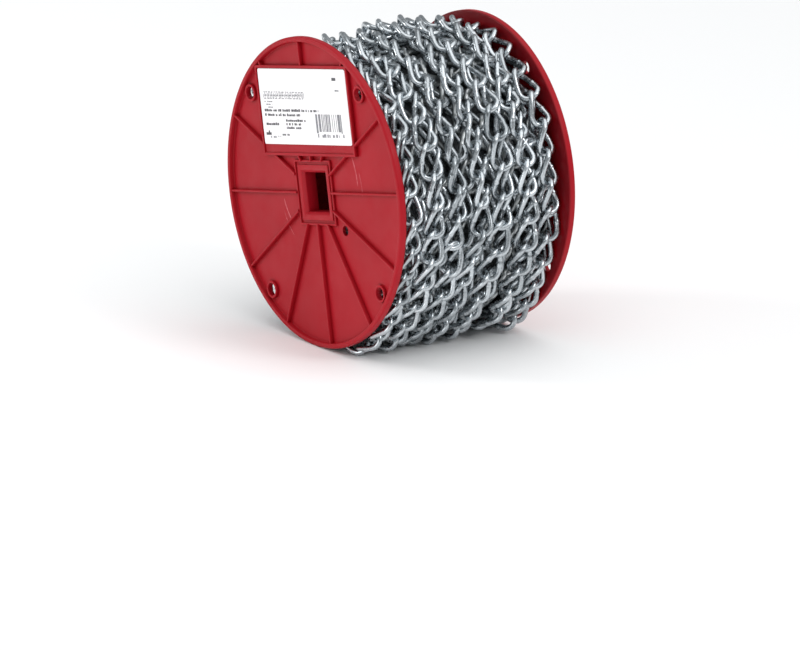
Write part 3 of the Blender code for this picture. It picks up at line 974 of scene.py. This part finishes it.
def lean(angle, across):
    """How far a turn has slid, at an angle round the reel. Angle 0 is at +X, and below it is negative."""
    wrapped = (angle + math.pi) % (2 * math.pi) - math.pi
    low_down = smooth_step((LEAN_FROM - wrapped) / (LEAN_FROM - LEAN_TO))
    low_down *= 1 - smooth_step((LEAN_TO - wrapped) / (LEAN_TO - LEAN_END))
    from_flange = (across + INNER_HALF) / (2 * INNER_HALF)
    fade = 1 - smooth_step((from_flange - LEAN_FADES_FROM) / LEAN_FADES_OVER)
    return -LEAN * low_down * (min(from_flange / LEAN_GROWS_TO, 1.0) * fade)


# %% [markdown]
# Real turns aren't even. Each layer drifts to and fro along slow waves, and each joint is off by a little
# of its own. Every second layer is wound the other way and lies in the valleys of the one before it.

# %% Joints
WAVE_RATES = (1.3, 2.7, 4.9, 8.3)
WAVE_SIZES = (0.5, 1.0)
SIDE_DRIFT, SIDE_RATE, SIDE_JITTER = 0.0016, 1.7, 0.0006
HEIGHT_DRIFT, HEIGHT_RATE, HEIGHT_JITTER = 0.0013, 1.3, 0.0005
HEIGHT_SETTLE = 0.0006
RETURN_SHIFT = 0.13
FLANGE_GAP = 0.0001


def wander(rng):
    """Slow wobble along the chain: a few waves of random phase."""
    waves = []
    for rate in WAVE_RATES:
        phase = float(rng.uniform(0, 2 * math.pi))
        waves.append((rate, phase, float(rng.uniform(*WAVE_SIZES))))
    return lambda x: sum(size * math.sin(rate * x + phase) for rate, phase, size in waves) / len(waves)


def lay_joints(layer, rng):
    """Joints of one layer of chain, a pitch apart, with the turn that each belongs to."""
    sideways, outwards = wander(rng), wander(rng)
    points, turns = [], []
    progress = 0.0
    flip = 1 if layer % 2 == 0 else -1
    half_turn = TURN_WIDTH / 2 if layer % 2 else 0.0
    limit = INNER_HALF - LINK_WIDTH / 2 - FLANGE_GAP
    while progress < TURNS * 2 * math.pi:
        across, turn, angle = turn_place(progress)
        across = flip * across
        angle = angle if flip > 0 else angle + RETURN_SHIFT
        loose = SIDE_DRIFT * sideways(progress * SIDE_RATE) + float(rng.normal(0, SIDE_JITTER))
        across += lean(angle, across)
        across = min(max(across + loose + half_turn, -limit), limit)
        height = reach(angle, across) - RISE - LAYER_DROP * layer
        drift = HEIGHT_DRIFT * outwards(progress * HEIGHT_RATE)
        height += drift - HEIGHT_SETTLE + float(rng.normal(0, HEIGHT_JITTER))
        points.append((height * math.cos(angle), across, AXIS_HEIGHT + height * math.sin(angle)))
        turns.append(turn)
        progress += LINK_PITCH / height
    return np.array(points), np.array(turns)


# %% [markdown]
# Links vary: each is rolled about its own length, more so on top, where the turns lie loosest. Each has its
# weld on one side or the other, and a tone of its own. All the links of one turn are joined into one mesh,
# because hundreds of objects would be slow.

# %% Place the links
LANE_ROLL_DEG = (8, 6, 14, 18, 6, 14, 10)
TOP_ROLL_DEG = (22, 22, 22, 22, 22, 16, 0)
TOP_FROM, TOP_SPAN = -0.3, 0.9
ROLL_SPREAD = math.radians(11)
ROLL_WANDER = math.radians(56)
ROLL_RATE = 0.2
WELD_CHANCE = 0.5


def link_frames(points, turns, rng):
    """Middle, length, width and outward directions of each link between two joints."""
    roll_wave = wander(rng)
    frames = []
    for k in range(len(points) - 1):
        start, end = Vector(points[k]), Vector(points[k + 1])
        middle = (start + end) / 2
        ahead = (end - start).normalized()
        out = Vector((middle.x, 0, middle.z - AXIS_HEIGHT)).normalized()
        out = (out - ahead * out.dot(ahead)).normalized()
        upward = smooth_step((out.z - TOP_FROM) / TOP_SPAN)
        lane = turns[k] % TURNS
        roll = math.radians(LANE_ROLL_DEG[lane] + TOP_ROLL_DEG[lane] * upward)
        roll += ROLL_WANDER * roll_wave(k * ROLL_RATE) + float(rng.normal(0, ROLL_SPREAD))
        if rng.random() < WELD_CHANCE:
            roll += math.pi
        out = Matrix.Rotation(roll, 3, ahead) @ out
        frames.append((np.array(middle), np.array([ahead, out.cross(ahead), out])))
    return frames


# %% Mesh of many links
FLOOR_GAP = 0.0003
TONE_MIDDLE, TONE_SPREAD = 0.55, 0.22


def chain_mesh(name, frames, rng, fineness, material):
    """Copies of one link, placed by their frames and joined."""
    grid = link_surface(*fineness).reshape(-1, 3)
    faces = grid_faces(*fineness)
    points, quads, tones = [], [], []
    for number, (middle, axes) in enumerate(frames):
        placed = middle + grid @ axes
        placed[:, 2] += max(0.0, FLOOR_GAP - placed[:, 2].min())
        points.append(placed)
        quads.append(faces + number * len(grid))
        tones.append(np.full(len(grid), np.clip(rng.normal(TONE_MIDDLE, TONE_SPREAD), 0, 1)))
    mesh = bpy.data.meshes.new(name)
    mesh.from_pydata(np.concatenate(points).tolist(), [], np.concatenate(quads).tolist())
    mesh.attributes.new("tone", "FLOAT", "POINT").data.foreach_set("value", np.concatenate(tones))
    mesh.materials.append(material)
    mesh.shade_smooth()
    made = bpy.data.objects.new(name, mesh)
    bpy.context.scene.collection.objects.link(made)
    return made


# %% Outer layer, one piece for each turn
OUTER_SEED = 11
rng = np.random.default_rng(OUTER_SEED)
joints, turn_of = lay_joints(0, rng)
frames = link_frames(joints, turn_of, rng)
for turn in range(TURNS):
    mine = [f for f, t in zip(frames, turn_of) if t == turn]
    piece = chain_mesh(f"chain_turn_{turn + 1}", mine, rng, FINE, zinc_top)
    settle(piece, "zinc_steel", *(["chain_outer_layer"] if turn == 0 else []))
print(len(frames), "links in the outer layer")

# %% [markdown]
# The layer below shows in the gaps, so it is real chain too, with fewer faces. The layer under that is given
# a darker copy of the zinc, as painted shade. Deeper still, only shade can be seen, so a rough drum of
# near-black metal, painted shade, stands for the rest of the winding.

# %% Buried layers
BURIED_SEED = 20
# The deepest of these layers uses the darker zinc, as painted shade.
for layer, fineness, material in ((1, MEDIUM, zinc_top), (2, COARSE, zinc_shaded)):
    rng = np.random.default_rng(BURIED_SEED + layer)
    joints, turn_of = lay_joints(layer, rng)
    buried = link_frames(joints, turn_of, rng)
    piece = chain_mesh(f"chain_layer_{layer + 1}", buried, rng, fineness, material)
    settle(piece, "zinc_steel")

# %% Core
CORE_STEPS = 120
CORE_DROP = 2 * RISE + 2 * LAYER_DROP - 0.001
CORE_INSIDE = 0.0330
CORE_HALF = INNER_HALF - 0.0006
BESIDE_CROWN = 0.05
# Painted shade: the drum is near-black metal, for chain that lies deep in the winding's shade.
CORE_SHADE_COLOUR = (0.07, 0.075, 0.08)
CORE_SHADE_DARK = (0.03, 0.034, 0.036)
CORE_SHADE_PALE = (0.16, 0.17, 0.18)

core_rings = []
for k in range(CORE_STEPS):
    angle = 2 * math.pi * k / CORE_STEPS
    radius = min(reach(angle, BESIDE_CROWN), WINDING_RADIUS) - CORE_DROP
    section = [(CORE_INSIDE, -CORE_HALF), (radius, -CORE_HALF)]
    section += [(radius, CORE_HALF), (CORE_INSIDE, CORE_HALF)]
    core_rings.append([(r * math.cos(angle), y, AXIS_HEIGHT + r * math.sin(angle)) for r, y in section])
core = object_from(solid_from_rings(core_rings), "chain_deep_core")
# Painted shade: near-black metal drifting between two dark tones.
shaded_core_metal = Finish("shaded_core_metal", metallic=1.0, roughness=0.6, colour=CORE_SHADE_COLOUR)
shaded_core_metal.use_tooth(depth=0.003, strength=1.0, scale=220, detail=4)
shaded_core_metal.use_colour(shaded_core_metal.drifting(CORE_SHADE_DARK, CORE_SHADE_PALE, scale=160, detail=3))
finish_piece(core, shaded_core_metal.material)
settle(core, "zinc_steel", "chain_inner_layers")

# %% [markdown]
# ## Stage
#
# The floor is plain and pale. Metal shows its surroundings, so the lights matter more than the colour of
# the zinc: large soft panels make the bright streaks, and the dimmer world between them gives the dark
# sides that separate one link from the next.

# %% Floor
FLOOR_SIZE = 6
FLOOR_LEVEL = -0.0002
FLOOR_WHITE = (0.96, 0.96, 0.96)

floor_build = bmesh.new()
bmesh.ops.create_grid(floor_build, x_segments=1, y_segments=1, size=FLOOR_SIZE)
floor = object_from(floor_build, "floor")
floor.location.z = FLOOR_LEVEL
floor_paint = Finish("floor_paint", metallic=0.0, roughness=0.7, colour=FLOOR_WHITE)
floor.data.materials.append(floor_paint.material)
floor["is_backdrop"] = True

# %% Lights


def light_from(kind, name, azimuth, elevation, distance, power):
    """A light that faces the reel, at angles in degrees."""
    data = bpy.data.lights.new(name, kind)
    data.energy = power
    light = bpy.data.objects.new(name, data)
    bpy.context.scene.collection.objects.link(light)
    away = direction(math.radians(azimuth), math.radians(elevation))
    light.location = CENTRE + away * distance
    light.rotation_mode = "QUATERNION"
    light.rotation_quaternion = (-away).to_track_quat("-Z", "Y")
    return data


def softbox(name, size, **place):
    """A square panel light."""
    data = light_from("AREA", name, **place)
    data.shape = "SQUARE"
    data.size = size


def overcast(name, spread_deg, **place):
    """A broad sun stands in for a ceiling of diffusers. It lights the floor evenly, out to its far edge."""
    data = light_from("SUN", name, distance=0, **place)
    data.angle = math.radians(spread_deg)


softbox("key", size=0.40, azimuth=-44, elevation=24, distance=1.6, power=7.0)
softbox("right_strip", size=0.4, azimuth=108, elevation=32, distance=1.6, power=5.4)
softbox("front_fill", size=0.22, azimuth=20, elevation=2, distance=0.46, power=0.38)
overcast("ceiling", spread_deg=90, azimuth=125, elevation=74, power=1.9)

# %% World and view
WORLD_COLOUR = (0.80, 0.83, 0.85, 1)
WORLD_STRENGTH = 0.42

world = bpy.data.worlds.new("studio")
bpy.context.scene.world = world
world.use_nodes = True
world.node_tree.nodes["Background"].inputs["Color"].default_value = WORLD_COLOUR
world.node_tree.nodes["Background"].inputs["Strength"].default_value = WORLD_STRENGTH

view_settings = bpy.context.scene.view_settings
view_settings.view_transform = "Standard"
view_settings.look = "None"
view_settings.exposure = 0.0

# %% Print the dressed model's size
low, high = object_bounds()
print("dressed model from", tuple(round(v, 4) for v in low), "to", tuple(round(v, 4) for v in high))
